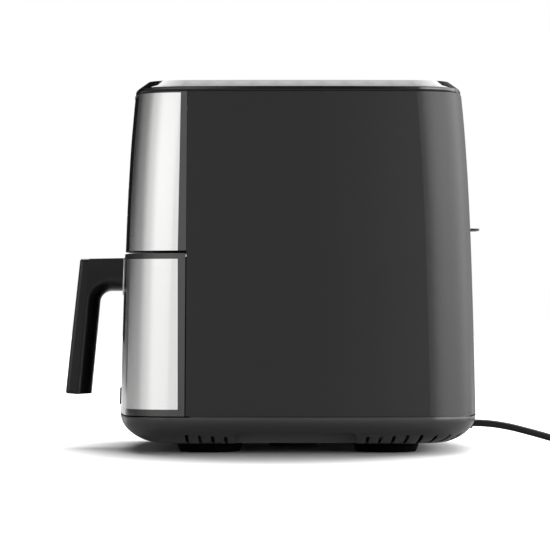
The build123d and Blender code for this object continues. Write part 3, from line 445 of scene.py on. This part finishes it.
stations = [(0.0, 0.0)]
for step in range(ROUND_STEPS + 1):
    turn = math.pi / 2 * step / ROUND_STEPS
    across = GRIP_HALF - ROUND_WIDTH + ROUND_WIDTH * math.sin(turn)
    stations.append((across, ROUND_DEPTH * (1 - math.cos(turn))))
grip_mesh = bmesh.new()
rings = []
for across, inset in stations:
    rings.append([grip_mesh.verts.new((across * MM, y * MM, z * MM)) for y, z in grip_outline(inset)])
for near, far in zip(rings, rings[1:]):
    for n in range(len(near)):
        m = (n + 1) % len(near)
        grip_mesh.faces.new((near[n], near[m], far[m], far[n]))
grip_mesh.faces.new(rings[-1])
end_edges = []
for edge in grip_mesh.edges:
    middle = (edge.verts[0].co + edge.verts[1].co) / 2
    at_top = middle.z > TOP_EDGE_Z
    at_foot = middle.y < FOOT_EDGE_Y and middle.z < FOOT_EDGE_Z
    if middle.x > (GRIP_HALF - 0.01) * MM and (at_top or at_foot):
        end_edges.append(edge)
bmesh.ops.bevel(grip_mesh, geom=end_edges, offset=END_ROUND, offset_type="OFFSET", affect="EDGES",
                segments=3, profile=0.5, material=-1, clamp_overlap=True)
whole = grip_mesh.verts[:] + grip_mesh.edges[:] + grip_mesh.faces[:]
bmesh.ops.mirror(grip_mesh, geom=whole, axis="X", merge_dist=0.00001)
grip = new_piece("grip", grip_mesh, "drawer", "handle_black")
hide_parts("handle_body")

# %% [markdown]
# Touch marks on an appliance are printed or etched on the glossy panel. No sign or lettering is
# made here: a long rounded frame stands for the display and a row of rings for the touch points.
# Each mark is drawn flat, then every point is dropped back on the bowed panel by a ray.

# %% The marks on the control panel
MARK_LIFT = 0.00012
LINE_WIDTH = 0.0006
MARK_THICKNESS = 0.0001
DISPLAY_MIDDLE = (0, 0.262)
RING_ROWS = (0.222, 0.198)
RINGS_IN_ROW = 5
RING_PITCH = 0.026
RING_HALF = 0.0062
RING_RADIUS = 0.0061
LONG_EDGE = 0.006
RAY_START_Y = -0.30
panel = nodes["control_panel"]


def drop_on_panel(mesh):
    """Moves each vertex along +Y until it lies just in front of the control panel."""
    inverse = panel.matrix_world.inverted()
    direction = (inverse.to_3x3() @ Vector((0, 1, 0))).normalized()
    for vertex in mesh.verts:
        start = inverse @ Vector((vertex.co.x, RAY_START_Y, vertex.co.z))
        found, place, _, _ = panel.ray_cast(start, direction)
        if found:
            vertex.co.y = (panel.matrix_world @ place).y - MARK_LIFT


def rounded_frame(mesh, middle, half_width, half_height, radius, thickness, steps=8):
    """A flat rounded frame round a point of the XZ plane, as a strip of quads."""
    loops = []
    for inset in (0.0, thickness):
        loop = []
        for quarter, (side_x, side_z) in enumerate(((1, 1), (-1, 1), (-1, -1), (1, -1))):
            corner_x = middle[0] + side_x * (half_width - radius)
            corner_z = middle[1] + side_z * (half_height - radius)
            for step in range(steps + 1):
                turn = math.radians(90 * quarter + 90 * step / steps)
                reach = radius - inset
                x = corner_x + reach * math.cos(turn)
                z = corner_z + reach * math.sin(turn)
                loop.append(mesh.verts.new((x, 0, z)))
        loops.append(loop)
    outer, inner = loops
    for n in range(len(outer)):
        m = (n + 1) % len(outer)
        mesh.faces.new((outer[n], outer[m], inner[m], inner[n]))


marks_mesh = bmesh.new()
rounded_frame(marks_mesh, DISPLAY_MIDDLE, 0.040, 0.014, 0.005, LINE_WIDTH)
for height in RING_ROWS:
    for column in range(RINGS_IN_ROW):
        across = (column - RINGS_IN_ROW // 2) * RING_PITCH
        rounded_frame(marks_mesh, (across, height), RING_HALF, RING_HALF, RING_RADIUS, LINE_WIDTH)
long_edges = [e for e in marks_mesh.edges if e.calc_length() > LONG_EDGE]
bmesh.ops.subdivide_edges(marks_mesh, edges=long_edges, cuts=16)
drop_on_panel(marks_mesh)
bmesh.ops.solidify(marks_mesh, geom=marks_mesh.faces[:], thickness=MARK_THICKNESS)
new_piece("control_marks", marks_mesh, "housing", "panel_marks")

# %% [markdown]
# Every real edge is a little round, and that thin round catches the light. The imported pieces
# have sharp edges made of loose triangles, so a Weld modifier joins them first and a Bevel
# modifier then rounds only the edges that turn sharply. The pieces themselves stay as they are.

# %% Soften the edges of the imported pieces
EDGE_ROUND = 0.0005


def soften(node, width, segments=2, degrees=40):
    """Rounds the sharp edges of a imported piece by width, with modifiers only."""
    piece = nodes[node]
    weld = piece.modifiers.new("join_triangles", "WELD")
    weld.merge_threshold = 0.00001
    rounding = piece.modifiers.new("round_edges", "BEVEL")
    rounding.width = width
    rounding.segments = segments
    rounding.limit_method = "ANGLE"
    rounding.angle_limit = math.radians(degrees)
    rounding.use_clamp_overlap = True


for node in ("base_pan", "top_cover_rim", "rubber_feet", "trim_plate", "handle_plate", "cord_plug",
             "crisper_plate", "underside_hub_cover", "rear_vent_grille"):
    soften(node, EDGE_ROUND)
print("softened")

# %% [markdown]
# The table is plain and pale. Close to the appliance it is light matt paint, so that the lamps
# cast a soft shadow under the base. Farther away it only has to be a white background, so a
# painted glow that only the eye sees fades in with the distance from the appliance, over an oval.
# That oval also paints the outer edge of the shadow: where the glow starts, the shade ends.

# %% The table
TABLE_REACH = 8.0
TABLE_TONE = 0.53
FADE_OVAL = (0.34, 0.187, 1.0)
FADE_START = 0.64
FADE_END = 1.23
table_mesh = bmesh.new()
bmesh.ops.create_grid(table_mesh, x_segments=1, y_segments=1, size=TABLE_REACH)
table_data = bpy.data.meshes.new("table")
table_mesh.to_mesh(table_data)
table_mesh.free()
table = bpy.data.objects.new("table", table_data)
bpy.context.scene.collection.objects.link(table)
table_white, table_tree, table_shader = shader_material("table_white", (TABLE_TONE,) * 3, 0.6, 0.0, 0.1)
place = add(table_tree, "ShaderNodeTexCoord")
oval = add(table_tree, "ShaderNodeVectorMath", operation="DIVIDE")
oval.inputs[1].default_value = FADE_OVAL
distance = add(table_tree, "ShaderNodeVectorMath", operation="LENGTH")
fade = add(table_tree, "ShaderNodeMapRange", interpolation_type="SMOOTHSTEP")
fade.inputs["From Min"].default_value = FADE_START
fade.inputs["From Max"].default_value = FADE_END
eye_ray = add(table_tree, "ShaderNodeLightPath")
# Painted glow: camera-only emission, none near the base and full past the oval; it whitens the table
# and trims the shadow's edge.
painted_glow = math_node(table_tree, "MULTIPLY", fade.outputs["Result"], eye_ray.outputs["Is Camera Ray"])
table_tree.links.new(place.outputs["Object"], oval.inputs[0])
table_tree.links.new(oval.outputs[0], distance.inputs[0])
table_tree.links.new(distance.outputs["Value"], fade.inputs["Value"])
table_shader.inputs["Emission Color"].default_value = (1, 1, 1, 1)
table_tree.links.new(painted_glow, table_shader.inputs["Emission Strength"])
table_data.materials.append(table_white)
print("table", table.dimensions[:2])

# %% [markdown]
# A product studio stands soft panels round the object at its own height, because upright steel
# and gloss show what stands round them. Here the ring of panels is the colour of the world,
# read by compass direction: 0 degrees is the eye's side, -90 the handle's side, +90 the back.
# A bright panel between the eye and the handle lights the steel corner, the eye's own direction
# stays dim so that the dark shell stays dark, and a bright one at the back draws its rear edge.

# %% The ring of panels
world = bpy.data.worlds.new("studio")
world.use_nodes = True
bpy.context.scene.world = world
sky = world.node_tree
background = sky.nodes["Background"]
PANELS = [
    (-180, 0.01), (-140, 0.03), (-100, 0.30), (-72, 1.10), (-50, 1.80), (-12, 1.80), (-3, 0.22),
    (6, 0.12), (16, 1.00), (26, 5.00), (40, 7.80), (62, 7.80),
    (88, 5.60), (115, 3.40), (145, 1.20), (172, 0.20), (180, 0.01),
]
BRIGHTEST = 8.0
BAND_FULL_TO = 0.22
BAND_ENDS_AT = 0.62
LEVEL_ABOVE_BAND = 0.2
direction = add(sky, "ShaderNodeTexCoord")
parts = add(sky, "ShaderNodeSeparateXYZ")
sky.links.new(direction.outputs["Generated"], parts.inputs[0])
compass = math_node(sky, "ARCTAN2", parts.outputs["Y"], parts.outputs["X"])
turn_share = math_node(sky, "MULTIPLY_ADD", compass, 1 / (2 * math.pi))
turn_share.node.inputs[2].default_value = 0.5
ring = add(sky, "ShaderNodeValToRGB")
ring.color_ramp.interpolation = "EASE"
for index, (degrees, level) in enumerate(PANELS):
    share = (degrees + 180) / 360
    stops = ring.color_ramp.elements
    stop = stops[0] if index == 0 else stops[-1] if index == len(PANELS) - 1 else stops.new(share)
    stop.position = share
    stop.color = (*[level / BRIGHTEST] * 3, 1)
sky.links.new(turn_share, ring.inputs["Fac"])
height = math_node(sky, "ABSOLUTE", parts.outputs["Z"])
low_band = add(sky, "ShaderNodeMapRange", interpolation_type="SMOOTHSTEP")
low_band.inputs["From Min"].default_value = BAND_FULL_TO
low_band.inputs["From Max"].default_value = BAND_ENDS_AT
low_band.inputs["To Min"].default_value = BRIGHTEST
low_band.inputs["To Max"].default_value = LEVEL_ABOVE_BAND
sky.links.new(height, low_band.inputs["Value"])
panel_light = math_node(sky, "MULTIPLY", ring.outputs["Color"], low_band.outputs["Result"])
seen = add(sky, "ShaderNodeMix", data_type="FLOAT")
ray = add(sky, "ShaderNodeLightPath")
sky.links.new(ray.outputs["Is Camera Ray"], seen.inputs["Factor"])
sky.links.new(panel_light, seen.inputs["A"])
seen.inputs["B"].default_value = 1.0
sky.links.new(seen.outputs["Result"], background.inputs["Strength"])
background.inputs["Color"].default_value = (1, 1, 1, 1)
print("panels", len(PANELS))

# %% [markdown]
# The main lamp is a large soft box overhead, set a little beyond the appliance. It shines in the
# chamfer of the gloss lip and throws the short soft shadow on the eye's side of the base.

# %% The soft boxes
def soft_box(name, place, target, width, height, watts):
    """A rectangular lamp at place, turned to its target."""
    data = bpy.data.lights.new(name, "AREA")
    data.shape = "RECTANGLE"
    data.size = width
    data.size_y = height
    data.energy = watts
    lamp = bpy.data.objects.new(name, data)
    bpy.context.scene.collection.objects.link(lamp)
    lamp.location = place
    aim = Vector(target) - Vector(place)
    lamp.rotation_euler = aim.to_track_quat("-Z", "Y").to_euler()


soft_box("overhead", (-0.9, 0.22, 1.9), (-0.9, 0, 0.0), 1.7, 2.8, 96)
soft_box("rear_side", (-0.9, 2.2, 0.7), (0, 0.1, 0.15), 1.4, 1.4, 6)
bpy.context.scene.view_settings.view_transform = "Standard"
